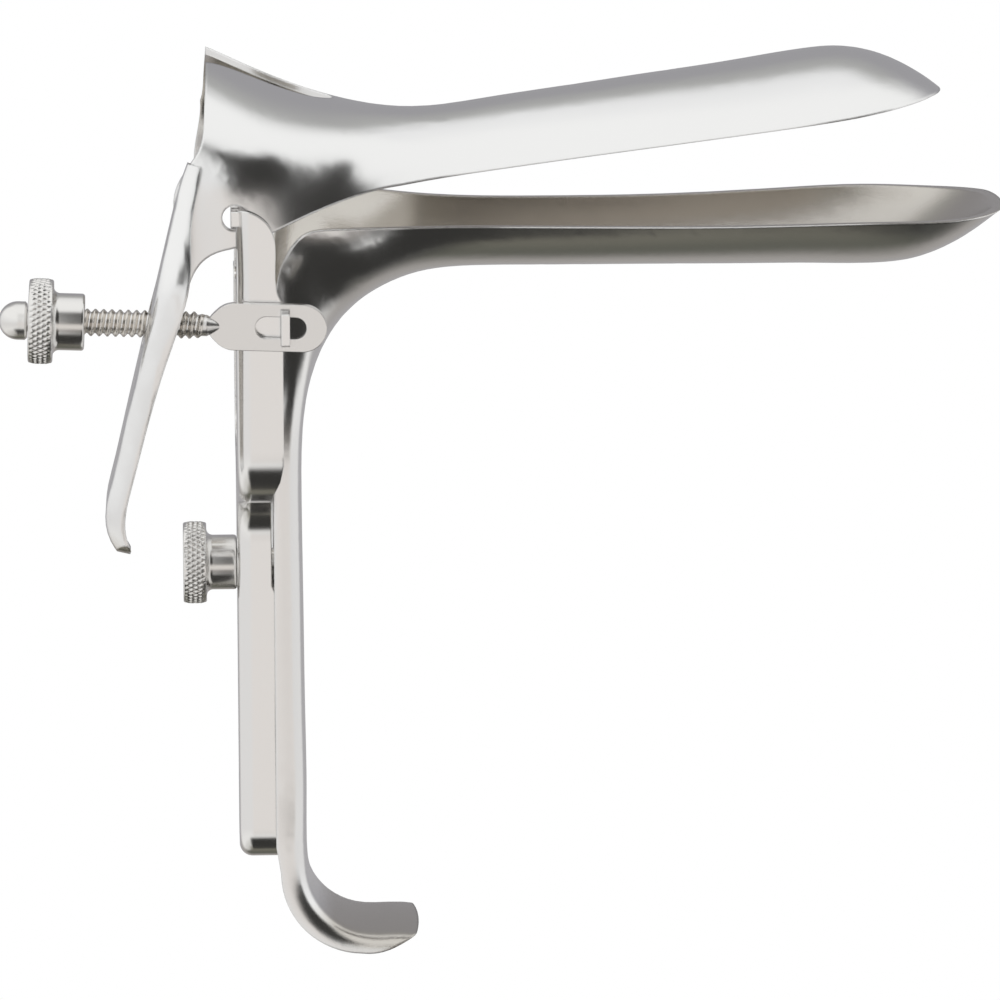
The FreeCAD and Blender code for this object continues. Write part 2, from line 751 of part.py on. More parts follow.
def draw(flat, points, closed=True):
    """Adds straight lines through points, and an arc where an entry holds a middle point and an end."""
    start = points[0]
    first = start
    for entry in points[1:] + ([first] if closed else []):
        if len(entry) == 4:
            middle, end = entry[:2], entry[2:]
            flat.addGeometry(Part.Arc(Vector(*start, 0), Vector(*middle, 0), Vector(*end, 0)), False)
        else:
            end = entry
            if math.dist(start, end) > 1e-6:
                flat.addGeometry(Part.LineSegment(Vector(*start, 0), Vector(*end, 0)), False)
        start = end


def feature(body, kind, name, profile=None, **settings):
    """Adds a PartDesign feature. A text setting is an expression."""
    made = body.newObject("PartDesign::" + kind, name)
    if profile is not None:
        made.Profile = profile
    for key, value in settings.items():
        if isinstance(value, str) and key not in ("Type", "SideType"):
            made.setExpression(key, value)
        else:
            setattr(made, key, value)
    doc.recompute()
    return made


def on_circle(centre, radius, turn):
    """A point (across, up) on a circle, the turn in degrees from straight across."""
    return (centre[0] + radius * math.cos(turn * DEG), centre[1] + radius * math.sin(turn * DEG))


def mirrored(points):
    """The same line of points and arcs on the other side, walked the other way."""
    starts = []
    start = points[0]
    for entry in points[1:]:
        starts.append((entry, start))
        start = entry[-2:]
    line = [(-start[0], start[1])]
    for entry, before in reversed(starts):
        end = (-before[0], before[1])
        line.append((-entry[0], entry[1]) + end if len(entry) == 4 else end)
    return line


def frame_side(inset, top):
    """One side of the frame's outline, from the top of an arm down to the middle of the stem's end."""
    arm = size("arm_curve")
    stem = size("stem_curve")
    half = size("frame_half")
    stem_half = size("stem_half")
    turn = size("shoulder_turn")
    level = (half - stem_half - (arm + stem) * (1.0 - math.cos(turn * DEG))) / math.sin(turn * DEG)
    arm_centre = (half - arm, size("arm_end_z"))
    low = size("arm_end_z") - (arm + stem) * math.sin(turn * DEG) - level * math.cos(turn * DEG)
    stem_centre = (stem_half + stem, low)
    corner = size("stem_corner")
    corner_centre = (stem_half - corner, corner - size("stem_bottom"))
    arm -= inset
    stem += inset
    corner -= inset
    return [
        (half - inset, top),
        (half - inset, arm_centre[1]),
        on_circle(arm_centre, arm, -turn / 2.0) + on_circle(arm_centre, arm, -turn),
        on_circle(stem_centre, stem, 180.0 - turn),
        on_circle(stem_centre, stem, 180.0 - turn / 2.0) + (stem_half - inset, low),
        (stem_half - inset, corner_centre[1]),
        on_circle(corner_centre, corner, -45.0) + (corner_centre[0], corner_centre[1] - corner),
        (0.0, corner_centre[1] - corner),
    ]


def outline_of(side):
    """A closed outline from one side that ends on the middle line."""
    return side + mirrored(side)[1:]


def edges_at(shape, x, below):
    """Names of the edges that lie flat at a depth and reach below a height."""
    names = []
    for index, edge in enumerate(shape.Edges, start=1):
        box = edge.BoundBox
        if abs(box.XMin - x) < 1e-4 and abs(box.XMax - x) < 1e-4 and box.ZMin < below - 0.01:
            names.append("Edge%d" % index)
    return names


def make_frame():
    """The sliding frame: two channel arms, a channel stem with the stud's slot, hooks and a lug."""
    body = new_body("sliding_frame")
    back = -size("frame_back")
    top = frame_top()
    wall = size("frame_wall")
    inner = size("frame_half") - wall

    outline = sketch_on(body, "FrameOutline", "YZ_Plane", back)
    draw(outline, outline_of(frame_side(0.0, top)))
    blank = feature(body, "Pad", "FrameBlank", outline, Length="Sizes.frame_back + Sizes.frame_front")
    bends = feature(
        body, "Fillet", "FrameBends", Base=(blank, edges_at(blank.Shape, back, top)), Radius="Sizes.frame_bend"
    )

    hollow = sketch_on(body, "FrameHollow", "YZ_Plane", back + wall)
    draw(hollow, outline_of(frame_side(wall, top + 4.0)))
    tray = feature(body, "Pocket", "FrameTray", hollow, Length=FAR, Reversed=True)
    feature(
        body,
        "Fillet",
        "FrameInnerBends",
        Base=(tray, edges_at(tray.Shape, back + wall, top)),
        Radius="Sizes.frame_bend - Sizes.frame_wall",
    )

    web = size("frame_half") - size("web_width")
    curve_radius = size("arch_curve")
    curve_centre = (web - curve_radius, size("arch_bottom") + curve_radius)
    corner = 2.5
    web_top = size("web_top")
    arch = sketch_on(body, "FrameArch", "YZ_Plane", back)
    arch_side = [
        (inner, top + 4.0),
        (inner, web_top),
        (web + corner, web_top),
        on_circle((web + corner, web_top - corner), corner, 135.0) + (web, web_top - corner),
        (web, curve_centre[1]),
        on_circle(curve_centre, curve_radius, -45.0) + on_circle(curve_centre, curve_radius, -90.0),
        (0.0, curve_centre[1] - curve_radius),
    ]
    draw(arch, outline_of(arch_side))
    feature(body, "Pocket", "FrameArchway", arch, Length=FAR, Midplane=True)

    slot_half = size("slot_half")
    slot_low = slot_half - size("frame_travel") - 0.05 - slot_half
    slot = sketch_on(body, "StudSlot", "YZ_Plane", back)
    draw(
        slot,
        [
            (slot_half, slot_low),
            (slot_half, 0.05),
            (0.0, 0.05 + slot_half, -slot_half, 0.05),
            (-slot_half, slot_low),
            (0.0, slot_low - slot_half, slot_half, slot_low),
        ],
        closed=False,
    )
    feature(body, "Pocket", "FrameSlot", slot, Length=FAR, Midplane=True)

    front = size("frame_front")
    gap = size("running_gap")
    profile = sketch_on(body, "FrameFront", "XZ_Plane")
    rounded = Part.BSplineCurve()
    nose = [(-4.2, top), (-1.5, top - 1.1), (-0.3, top - 2.5), (0.3, top - 4.8), (front, top - 13.0)]
    rounded.interpolate([Vector(x, z, 0) for x, z in nose])
    profile.addGeometry(rounded, False)
    arm_z = size("arm_end_z")
    draw(
        profile,
        [
            (front, top - 13.0),
            (front, arm_z - 2.0),
            (front - 0.5, arm_z - 4.5),
            (-gap, arm_z - 7.2),
            (-gap, -2.0),
            (size("stem_seat"), -4.0),
            (size("stem_seat"), -FAR),
            (FAR, -FAR),
            (FAR, FAR),
            (-4.2, FAR),
            (-4.2, top),
        ],
        closed=False,
    )
    feature(body, "Pocket", "FrameSideTrim", profile, Length=FAR, Midplane=True)

    pivot = size("pivot_z")
    tab = size("hook_height") / 2.0
    lip = size("hook_lip") / 2.0
    ear = collar_half() - size("blade_wall")
    lip_out = ear - 0.8
    hooks = sketch_on(body, "HookTabs", "YZ_Plane", back - size("hook_set_back"))
    for side in (-1.0, 1.0):
        draw(
            hooks,
            [
                (side * (size("frame_half") - 0.1), pivot - tab),
                (side * (size("frame_half") - 0.1), pivot + tab),
                (side * lip_out, pivot + tab),
                (side * lip_out, pivot + lip),
                (side * (lip_out - wall), pivot + lip),
                (side * (lip_out - wall), pivot - lip),
                (side * lip_out, pivot - lip),
                (side * lip_out, pivot - tab),
            ],
        )
    feature(body, "Pad", "FrameHooks", hooks, Length="Sizes.frame_wall")

    middle = lug_place().z
    neck = size("lug_neck") / 2.0
    head = size("lug_head") / 2.0
    head_in = screw_y() + size("eye_plate") / 2.0 + size("running_gap") + 0.2
    head_out = head_in + size("lug_head_width")
    lug = sketch_on(body, "LugOutline", "YZ_Plane", size("lug_x") - wall / 2.0)
    draw(
        lug,
        [
            (-inner, middle - neck),
            (-head_in, middle - neck),
            (-head_in, middle - head),
            (-head_out, middle - head + 0.4),
            (-head_out, middle + head - 0.4),
            (-head_in, middle + head),
            (-head_in, middle + neck),
            (-inner, middle + neck),
        ],
    )
    feature(body, "Pad", "FrameLug", lug, Length="Sizes.frame_wall")
    return body


def make_nut(name, core, place, tilt):
    """A round nut with a knurled flange behind a plain hub, turned from bar. Its hub faces +X."""
    body = new_body(name)
    hub = size("nut_hub")
    flange = size("nut_flange")
    big = size("nut_flange_radius")
    small = size("nut_hub_radius")
    fillet = size("nut_fillet")
    edge = size("nut_edge")
    bore = core + size("turning_gap")
    profile = sketch_on(body, name + "_profile", "XZ_Plane")
    draw(
        profile,
        [
            (0.0, bore),
            (0.0, small - edge),
            (-edge, small),
            (fillet - hub, small),
            (-hub, small + fillet),
            (-hub, big - edge),
            (-hub - edge, big),
            (edge - hub - flange, big),
            (-hub - flange, big - edge),
            (-hub - flange, bore),
        ],
    )
    turned = feature(body, "Revolution", name + "_turned", profile, Angle=360.0)
    turned.ReferenceAxis = (profile, ["H_Axis"])
    doc.recompute()
    body.Placement = FreeCAD.Placement(place, FreeCAD.Rotation(Vector(0, 1, 0), tilt))
    return body


def make_stud():
    """The clamp stud: a threaded rod on a round foot inside the handle."""
    body = new_body("clamp_stud")
    profile = sketch_on(body, "StudProfile", "XZ_Plane")
    foot = size("handle_depth") - size("blade_wall") - 0.1
    radius = size("stud_radius")
    end = -size("frame_back") - size("nut_hub") - size("nut_flange") / 2.0
    draw(
        profile,
        [
            (foot, 0.0),
            (foot, size("stud_foot_radius")),
            (foot - size("stud_foot"), size("stud_foot_radius")),
            (foot - size("stud_foot"), radius),
            (end + 0.4, radius),
            (end, radius - 0.4),
            (end, 0.0),
        ],
    )
    turned = feature(body, "Revolution", "StudTurned", profile, Angle=360.0)
    turned.ReferenceAxis = (profile, ["H_Axis"])
    doc.recompute()
    return body


def screw_place():
    """The adjusting screw's own frame: the lug at its origin and the rod along -X."""
    return FreeCAD.Placement(
        lug_place() - Vector(0, screw_y(), 0),
        FreeCAD.Rotation(Vector(0, 1, 0), size("screw_tilt")),
    )


def make_screw():
    """The adjusting screw: a flat slotted eye that hooks over the lug, and a threaded rod."""
    body = new_body("adjusting_screw")
    half = size("eye_half")
    back = size("eye_back")
    front = size("eye_front")
    rod = size("rod_radius")
    plate = sketch_on(body, "EyeOutline", "XZ_Plane")
    draw(
        plate,
        [
            (front, half),
            (3.7 - back, half),
            (2.3 - back, half - 0.25, 1.0 - back, half - 1.15),
            (0.25 - back, half - 1.95, -back, rod * 0.7),
            (-back, -rod * 0.7),
            (0.25 - back, 1.95 - half, 1.0 - back, 1.15 - half),
            (2.3 - back, 0.25 - half, 3.7 - back, -half),
            (front, -half),
            (front + half, 0.0, front, half),
        ],
        closed=False,
    )
    feature(body, "Pad", "EyePlate", plate, Length="Sizes.eye_plate", Midplane=True)
    slot_half = size("eye_slot_half")
    rear = slot_half - size("eye_slot_back")
    ahead = size("eye_slot_front") - slot_half
    slot = sketch_on(body, "EyeSlotOutline", "XZ_Plane")
    draw(
        slot,
        [
            (rear, slot_half),
            (ahead, slot_half),
            (ahead + slot_half, 0.0, ahead, -slot_half),
            (rear, -slot_half),
            (rear - slot_half, 0.0, rear, slot_half),
        ],
        closed=False,
    )
    feature(body, "Pocket", "EyeSlot", slot, Length=FAR, Midplane=True)
    core = sketch_on(body, "RodProfile", "XZ_Plane")
    end = -size("rod_length") - size("cap_neck")
    draw(
        core,
        [
            (1.6 - back, 0.0),
            (1.6 - back, size("eye_plate") / 2.0 - 0.05),
            (-back - 0.3, rod),
            (end, rod),
            (end, 0.0),
        ],
    )
    turned = feature(body, "Revolution", "Rod", core, Angle=360.0)
    turned.ReferenceAxis = (core, ["H_Axis"])
    doc.recompute()
    body.Placement = screw_place()
    return body


def make_cap():
    """The domed stop on the end of the screw, drilled to take the rod's end."""
    body = new_body("screw_end_cap")
    radius = size("cap_radius")
    start = -size("rod_length")
    neck = start - size("cap_neck")
    rod = size("rod_radius")
    corner = math.sqrt(0.5)
    profile = sketch_on(body, "CapProfile", "XZ_Plane")
    draw(
        profile,
        [
            (neck, 0.0),
            (neck, rod),
            (start, rod),
            (start, radius - 0.3),
            (start - 0.3, radius),
            (neck, radius),
            (neck - radius * corner, radius * corner, neck - radius, 0.0),
        ],
    )
    turned = feature(body, "Revolution", "CapTurned", profile, Angle=360.0)
    turned.ReferenceAxis = (profile, ["H_Axis"])
    doc.recompute()
    body.Placement = screw_place()
    return body


def main():
    parts = [make_upper_blade(), make_lower_blade(), make_frame(), make_stud()]
    seat = Vector(-size("frame_back") - 0.05, 0, 0)
    parts.append(make_nut("clamp_nut", size("stud_radius"), seat, 0.0))
    place = screw_place()
    nut_place = place.multVec(Vector(-size("nut_back"), 0, 0))
    parts.append(make_nut("lever_nut", size("rod_radius"), nut_place, size("screw_tilt")))
    parts.append(make_screw())
    parts.append(make_cap())
    doc.recompute()
    for item in doc.Objects:
        if "Invalid" in item.State or "Error" in item.State:
            raise RuntimeError("%s did not build: %s" % (item.Name, item.State))
    os.makedirs("parts", exist_ok=True)
    for part in parts:
        shape = part.Shape
        if shape.isNull() or not shape.isValid():
            raise RuntimeError("%s has no sound solid" % part.Label)
        print(part.Label, shape.ShapeType, round(shape.Volume, 1), len(shape.Solids), len(shape.Faces))
        shape.exportStep("parts/%s.step" % part.Label)


main()
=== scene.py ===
import math

import bpy
from mathutils import Matrix, Vector


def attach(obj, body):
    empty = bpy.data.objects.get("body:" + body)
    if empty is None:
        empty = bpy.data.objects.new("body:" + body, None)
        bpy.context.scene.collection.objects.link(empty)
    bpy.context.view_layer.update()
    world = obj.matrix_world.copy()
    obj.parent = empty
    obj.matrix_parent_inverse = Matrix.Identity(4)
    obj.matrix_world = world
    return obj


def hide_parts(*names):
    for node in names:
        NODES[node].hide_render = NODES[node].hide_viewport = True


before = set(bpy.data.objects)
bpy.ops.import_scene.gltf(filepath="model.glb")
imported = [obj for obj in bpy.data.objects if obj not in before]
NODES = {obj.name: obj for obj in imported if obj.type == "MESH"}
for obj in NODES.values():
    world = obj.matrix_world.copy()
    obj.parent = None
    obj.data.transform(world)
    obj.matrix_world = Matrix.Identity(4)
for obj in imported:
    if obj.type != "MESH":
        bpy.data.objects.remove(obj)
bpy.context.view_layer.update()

MM = 0.001

# Camera, fitted to the photograph's perspective.
CAMERA_AIM = Vector((33.2, 0.0, 8.8)) * MM
CAMERA_DISTANCE = 853.8 * MM
CAMERA_TURN = math.radians(3.0)
CAMERA_RISE = math.radians(12.0)
CAMERA_LENS = 210.2
CAMERA_SENSOR = 36.0

# Both thumb nuts have one form.
NUT_RADIUS = 6.0 * MM
NUT_FLANGE = 3.4 * MM
NUT_HUB = 4.4 * MM
NUT_HUB_RADIUS = 4.0 * MM
NUT_FILLET = 0.9 * MM
NUT_EDGE = 0.4 * MM
NUT_EDGE_STEPS = 4
NUT_FILLET_STEPS = 6
NUT_CHAMFER = 0.35 * MM
NUT_SHARP = math.radians(38.0)
CLAMP_NUT_SEAT = Vector((-5.35, 0.0, 0.0)) * MM
CLAMP_NUT_BORE = 2.05 * MM
LEVER_NUT_SEAT = Vector((-28.1, 0.0, 0.0)) * MM
LEVER_NUT_BORE = 1.55 * MM

# The diamond knurl. Its peaks stay uncut over a share of the pitch, and it fades at both ends.
KNURL_ROUND = 46
KNURL_DEPTH = 0.24 * MM
KNURL_SLANT = math.radians(30.0)
KNURL_PEAK = 0.35
KNURL_MARGIN = 0.12 * MM
KNURL_FADE = 4.0
KNURL_ROWS = 28
KNURL_COLUMNS = 10

# The adjusting screw's thread.
SCREW_TILT = math.radians(2.1)
LUG = Vector((1.6, -26.9, 39.6)) * MM
ROD_RADIUS = 1.5 * MM
THREAD_RADIUS = 1.92 * MM
THREAD_PITCH = 1.15 * MM
THREAD_START = 11.4 * MM
THREAD_END = 35.9 * MM
THREAD_SINK = 0.05 * MM
THREAD_STEPS = 40
# Half widths of the ridge at its foot and its crest, as shares of the pitch.
THREAD_FOOT = 0.46
THREAD_CREST = 0.09

# How far cut edges look rounded off.
SHEET_ROUNDING = 0.5 * MM
FRAME_ROUNDING = 0.35 * MM
PIN_ROUNDING = 0.2 * MM

# Noise reliefs: scale in 1/m, and depth.
POLISHING_GRAIN = (3000.0, 0.0015 * MM)
EYE_GRAIN = (2500.0, 0.004 * MM)
SATIN_GRAIN = (6000.0, 0.02 * MM)
POLISHING_MARKS = (130.0, 0.9 * MM)
EYE_STRETCH = (0.15, 1.0, 1.0)
MARKS_STRETCH = (1.0, 1.0, 0.45)

# The satin inside of the blades: its tone, darkened as painted shade inside the troughs, and the way it
# faces.
SATIN_SHADE_TONE = (0.61, 0.585, 0.545)
LOWER_INWARD = (-0.5, 0.0, 0.87)
UPPER_INWARD = (0.14, 0.0, -0.99)
FACING_START = 0.05
FACING_FULL = 0.40

# The polishing marks start where the lever stands off the collar.
MARKS_START = -24.6 * MM
MARKS_FULL = -25.4 * MM

# Tones of the studio tent.
CLOTH = (1.0, 1.0, 0.99)
LIT_CLOTH = (1.1, 1.1, 1.09)
WALL = (0.355, 0.35, 0.365)
PANEL = (0.84, 0.80, 0.765)
CARD = (0.035, 0.034, 0.032)
GREY_CARD = (0.12, 0.11, 0.10)
OLIVE = (0.20, 0.19, 0.155)

# Tones over height in degrees, ahead of the part and behind it, and where one turns to the other.
TONES_AHEAD = (
    (-90.0, OLIVE),
    (-62.0, (0.70, 0.69, 0.66)),
    (-38.0, (0.90, 0.89, 0.87)),
    (-12.0, (0.80, 0.79, 0.78)),
    (8.0, (0.92, 0.92, 0.915)),
    (24.0, CLOTH),
    (90.0, CLOTH),
)
TONES_BEHIND = (
    (-90.0, OLIVE),
    (-62.0, (0.12, 0.12, 0.10)),
    (-38.0, (0.38, 0.36, 0.34)),
    (-14.0, (0.42, 0.41, 0.42)),
    (4.0, WALL),
    (30.0, WALL),
    (48.0, (0.42, 0.42, 0.41)),
    (64.0, (0.92, 0.92, 0.92)),
    (90.0, CLOTH),
)
BEHIND_START = 118.0
BEHIND_FULL = 148.0

# Soft patches of the tent in degrees: (start, full, still full, end) of azimuth and of height.
LEFT_CLOTH = ((-181.0, -180.0, -9.0, 0.0), (-40.0, -26.0, 91.0, 91.0))
CARDS = (
    # Warm panel ahead.
    ((-6.0, 2.0, 44.0, 62.0), (-34.0, -26.0, 2.0, 9.0), PANEL),
    # Dark card at the side.
    ((3.0, 8.0, 66.0, 78.0), (-4.0, 3.0, 42.0, 54.0), CARD),
    # Grey card below it.
    ((3.0, 8.0, 44.0, 62.0), (-40.0, -30.0, -24.0, -17.0), GREY_CARD),
    # Dark table and its near edge.
    ((-40.0, -14.0, 128.0, 165.0), (-91.0, -90.0, -48.0, -36.0), CARD),
    ((4.0, 14.0, 50.0, 66.0), (-91.0, -90.0, -36.0, -27.0), CARD),
)

FLOOR_PLACE = (0.03, 0.0, -0.55)
FLOOR_RADIUS = 1.1
LAMP_PLACE = (-0.5, -0.5, 1.1)
LAMP_SIZE = 0.7
LAMP_POWER = 6.0


def socket(node, name, value):
    """Sets an input's own value."""
    node.inputs[name].default_value = value


def steel(name, colour, roughness, rounding):
    """Stainless steel whose cut edges look rounded off by a radius."""
    material = bpy.data.materials.new(name)
    material.use_nodes = True
    nodes = material.node_tree.nodes
    shader = nodes["Principled BSDF"]
    socket(shader, "Base Color", (*colour, 1.0))
    socket(shader, "Metallic", 1.0)
    socket(shader, "Roughness", roughness)
    rounded = nodes.new("ShaderNodeBevel")
    rounded.samples = 6
    socket(rounded, "Radius", rounding)
    material.node_tree.links.new(rounded.outputs["Normal"], shader.inputs["Normal"])
    return material


def add_relief(material, scale, depth, stretch=(1.0, 1.0, 1.0), mask=None):
    """Noise relief on a steel, in the object's own space. A mask socket limits where it is."""
    nodes = material.node_tree.nodes
    links = material.node_tree.links
    normal = nodes["Principled BSDF"].inputs["Normal"]
    before = normal.links[0].from_socket
    place = nodes.new("ShaderNodeTexCoord")
    mapping = nodes.new("ShaderNodeMapping")
    socket(mapping, "Scale", stretch)
    noise = nodes.new("ShaderNodeTexNoise")
    socket(noise, "Scale", scale)
    socket(noise, "Detail", 2.0)
    bump = nodes.new("ShaderNodeBump")
    socket(bump, "Distance", depth)
    socket(bump, "Strength", 1.0)
    links.new(place.outputs["Object"], mapping.inputs["Vector"])
    links.new(mapping.outputs["Vector"], noise.inputs["Vector"])
    links.new(noise.outputs["Fac"], bump.inputs["Height"])
    links.new(before, bump.inputs["Normal"])
    if mask is not None:
        links.new(mask, bump.inputs["Strength"])
    links.new(bump.outputs["Normal"], normal)


def add_tint(material, colour, mask):
    """Blends a steel's colour towards another where a mask is 1."""
    nodes = material.node_tree.nodes
    shader = nodes["Principled BSDF"]
    blend = nodes.new("ShaderNodeMix")
    blend.data_type = "RGBA"
    blend.inputs[6].default_value = tuple(shader.inputs["Base Color"].default_value)
    blend.inputs[7].default_value = (*colour, 1.0)
    material.node_tree.links.new(mask, blend.inputs[0])
    material.node_tree.links.new(blend.outputs[2], shader.inputs["Base Color"])


def facing(material, direction):
    """A mask of the surfaces that face a direction of the object's own space."""
    nodes = material.node_tree.nodes
    links = material.node_tree.links
    place = nodes.new("ShaderNodeTexCoord")
    along = nodes.new("ShaderNodeVectorMath")
    along.operation = "DOT_PRODUCT"
    along.inputs[1].default_value = direction
    share = nodes.new("ShaderNodeMapRange")
    socket(share, "From Min", FACING_START)
    socket(share, "From Max", FACING_FULL)
    links.new(place.outputs["Normal"], along.inputs[0])
    links.new(along.outputs["Value"], share.inputs["Value"])
    return share.outputs["Result"]


def beyond(material, axis, start, full):
    """A mask that rises from 0 at start to 1 at full along an axis of the object's own space."""
    nodes = material.node_tree.nodes
    links = material.node_tree.links
    place = nodes.new("ShaderNodeTexCoord")
    split = nodes.new("ShaderNodeSeparateXYZ")
    share = nodes.new("ShaderNodeMapRange")
    socket(share, "From Min", min(start, full))
    socket(share, "From Max", max(start, full))
    socket(share, "To Min", 0.0 if start < full else 1.0)
    socket(share, "To Max", 1.0 if start < full else 0.0)
    links.new(place.outputs["Object"], split.inputs["Vector"])
    links.new(split.outputs[axis], share.inputs["Value"])
    return share.outputs["Result"]


UPPER_STEEL = steel("upper_blade_steel", (0.86, 0.86, 0.86), 0.19, SHEET_ROUNDING)
LOWER_STEEL = steel("lower_blade_steel", (0.86, 0.86, 0.86), 0.20, SHEET_ROUNDING)
FRAME_STEEL = steel("frame_steel", (0.86, 0.855, 0.85), 0.17, FRAME_ROUNDING)
EYE_STEEL = steel("eye_steel", (0.83, 0.82, 0.81), 0.26, PIN_ROUNDING)
TURNED_STEEL = steel("turned_steel", (0.82, 0.81, 0.795), 0.22, PIN_ROUNDING)
THREAD_STEEL = steel("thread_steel", (0.74, 0.71, 0.67), 0.24, PIN_ROUNDING)

# Fine polishing grain on the pressed sheets, a satin finish inside the blades with painted shade
# darkening its colour, and the marks that hand polishing has left along the lever.
for pressed in (UPPER_STEEL, LOWER_STEEL, FRAME_STEEL):
    add_relief(pressed, *POLISHING_GRAIN)
add_relief(EYE_STEEL, *EYE_GRAIN, stretch=EYE_STRETCH)
for pressed, inward in ((LOWER_STEEL, LOWER_INWARD), (UPPER_STEEL, UPPER_INWARD)):
    inside_satin_shade = facing(pressed, inward)
    add_relief(pressed, *SATIN_GRAIN, mask=inside_satin_shade)
    # Painted shade: the tint darkens the colour of the blades' inner surfaces, where the satin relief
    # also is.
    add_tint(pressed, SATIN_SHADE_TONE, inside_satin_shade)
marked = beyond(UPPER_STEEL, "Y", MARKS_START, MARKS_FULL)
add_relief(UPPER_STEEL, *POLISHING_MARKS, stretch=MARKS_STRETCH, mask=marked)


def give(obj, *materials):
    """Replaces an object's materials."""
    obj.data.materials.clear()
    for material in materials:
        obj.data.materials.append(material)


def mesh_object(name, vertices, faces, material, smooth=True):
    """A mesh from its points and faces, with one material."""
    mesh = bpy.data.meshes.new(name)
    mesh.from_pydata([tuple(v) for v in vertices], [], faces)
    mesh.materials.append(material)
    obj = bpy.data.objects.new(name, mesh)
    bpy.context.scene.collection.objects.link(obj)
    for polygon in mesh.polygons:
        polygon.use_smooth = smooth
    return obj


def turned_profile():
    """A nut's outline from its hub's face back to its flange's back: (along -X, radius, knurl share)."""
    points = [(0.0, 0.0, 0.0), (0.0, NUT_HUB_RADIUS - NUT_EDGE, 0.0)]
    for step in range(1, NUT_EDGE_STEPS + 1):
        turn = math.radians(90.0 * step / NUT_EDGE_STEPS)
        along = NUT_EDGE * (1.0 - math.cos(turn))
        points.append((along, NUT_HUB_RADIUS - NUT_EDGE * (1.0 - math.sin(turn)), 0.0))
    for step in range(NUT_FILLET_STEPS + 1):
        turn = math.radians(90.0 * step / NUT_FILLET_STEPS)
        along = NUT_HUB - NUT_FILLET * (1.0 - math.sin(turn))
        points.append((along, NUT_HUB_RADIUS + NUT_FILLET * (1.0 - math.cos(turn)), 0.0))
    points.append((NUT_HUB, NUT_RADIUS - NUT_CHAMFER, 0.0))
    for step in range(KNURL_ROWS + 1):
        along = NUT_HUB + KNURL_MARGIN + (NUT_FLANGE - 2.0 * KNURL_MARGIN) * step / KNURL_ROWS
        edge = min(1.0, KNURL_FADE * step / KNURL_ROWS, KNURL_FADE * (KNURL_ROWS - step) / KNURL_ROWS)
        points.append((along, NUT_RADIUS - NUT_CHAMFER * 0.5 * (1.0 - edge), edge))
    points.append((NUT_HUB + NUT_FLANGE, NUT_RADIUS - NUT_CHAMFER, 0.0))
    points.append((NUT_HUB + NUT_FLANGE, 0.0, 0.0))
    return points


def knurl(turn, along):
    """Depth of the diamond knurl at a place on the flange, from 0 at a peak to 1 in a groove."""
    across = turn * KNURL_ROUND / (2.0 * math.pi)
    pitch = 2.0 * math.pi * NUT_RADIUS / KNURL_ROUND
    drift = along * math.tan(KNURL_SLANT) / pitch
    deep = 0.0
    for phase in (across + drift, across - drift):
        share = abs((phase % 1.0) - 0.5) * 2.0
        deep = max(deep, (share - KNURL_PEAK) / (1.0 - KNURL_PEAK))
    return deep


def make_nut(name, node, body, place, bore):
    """A thumb nut with its knurled flange, in place of the plain solid."""
    around = KNURL_ROUND * KNURL_COLUMNS
    profile = turned_profile()
    profile[0] = (0.0, bore, 0.0)
    profile[-1] = (NUT_HUB + NUT_FLANGE, bore, 0.0)
    vertices = []
    for along, radius, share in profile:
        for step in range(around):
            turn = 2.0 * math.pi * step / around
            cut = KNURL_DEPTH * share * knurl(turn, along - NUT_HUB)
            vertices.append(
                place @ Vector((-along, (radius - cut) * math.cos(turn), (radius - cut) * math.sin(turn)))
            )
    faces = []
    rings = len(profile)
    for ring in range(rings):
        after = (ring + 1) % rings
        for step in range(around):
            beside = (step + 1) % around
            faces.append(
                (
                    ring * around + step,
                    after * around + step,
                    after * around + beside,
                    ring * around + beside,
                )
            )
    nut = mesh_object(name, vertices, faces, TURNED_STEEL)
    nut.data.set_sharp_from_angle(angle=NUT_SHARP)
    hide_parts(node)
    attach(nut, body)


def make_thread():
    """The screw's thread, a ridge wound round the rod."""
    turns = (THREAD_END - THREAD_START) / THREAD_PITCH
    tilt = Matrix.Translation(LUG) @ Matrix.Rotation(SCREW_TILT, 4, "Y")
    flank = THREAD_PITCH * THREAD_FOOT
    crest = THREAD_PITCH * THREAD_CREST
    vertices = []
    total = int(turns * THREAD_STEPS)
    for index in range(total + 1):
        turn = 2.0 * math.pi * index / THREAD_STEPS
        along = THREAD_START + THREAD_PITCH * index / THREAD_STEPS
        fade = min(1.0, index / THREAD_STEPS, (total - index) / THREAD_STEPS)
        top = ROD_RADIUS + (THREAD_RADIUS - ROD_RADIUS) * fade
        inner = ROD_RADIUS - THREAD_SINK
        for shift, radius in ((-flank, inner), (-crest, top), (crest, top), (flank, inner)):
            vertices.append(
                tilt @ Vector((-along - shift, radius * math.cos(turn), radius * math.sin(turn)))
            )
    faces = [(0, 1, 2, 3), tuple(total * 4 + k for k in (3, 2, 1, 0))]
    for index in range(total):
        low = index * 4
        for k in range(4):
            beside = (k + 1) % 4
            faces.append((low + k, low + 4 + k, low + 4 + beside, low + beside))
    thread = mesh_object("screw_thread", vertices, faces, THREAD_STEEL, smooth=False)
    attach(thread, "screw")


def dress_nodes():
    """Materials of the solids that are shown as they are."""
    give(NODES["upper_blade"], UPPER_STEEL)
    give(NODES["lower_blade"], LOWER_STEEL)
    give(NODES["sliding_frame"], FRAME_STEEL)
    give(NODES["adjusting_screw"], EYE_STEEL)
    give(NODES["screw_end_cap"], TURNED_STEEL)
    give(NODES["clamp_stud"], TURNED_STEEL)


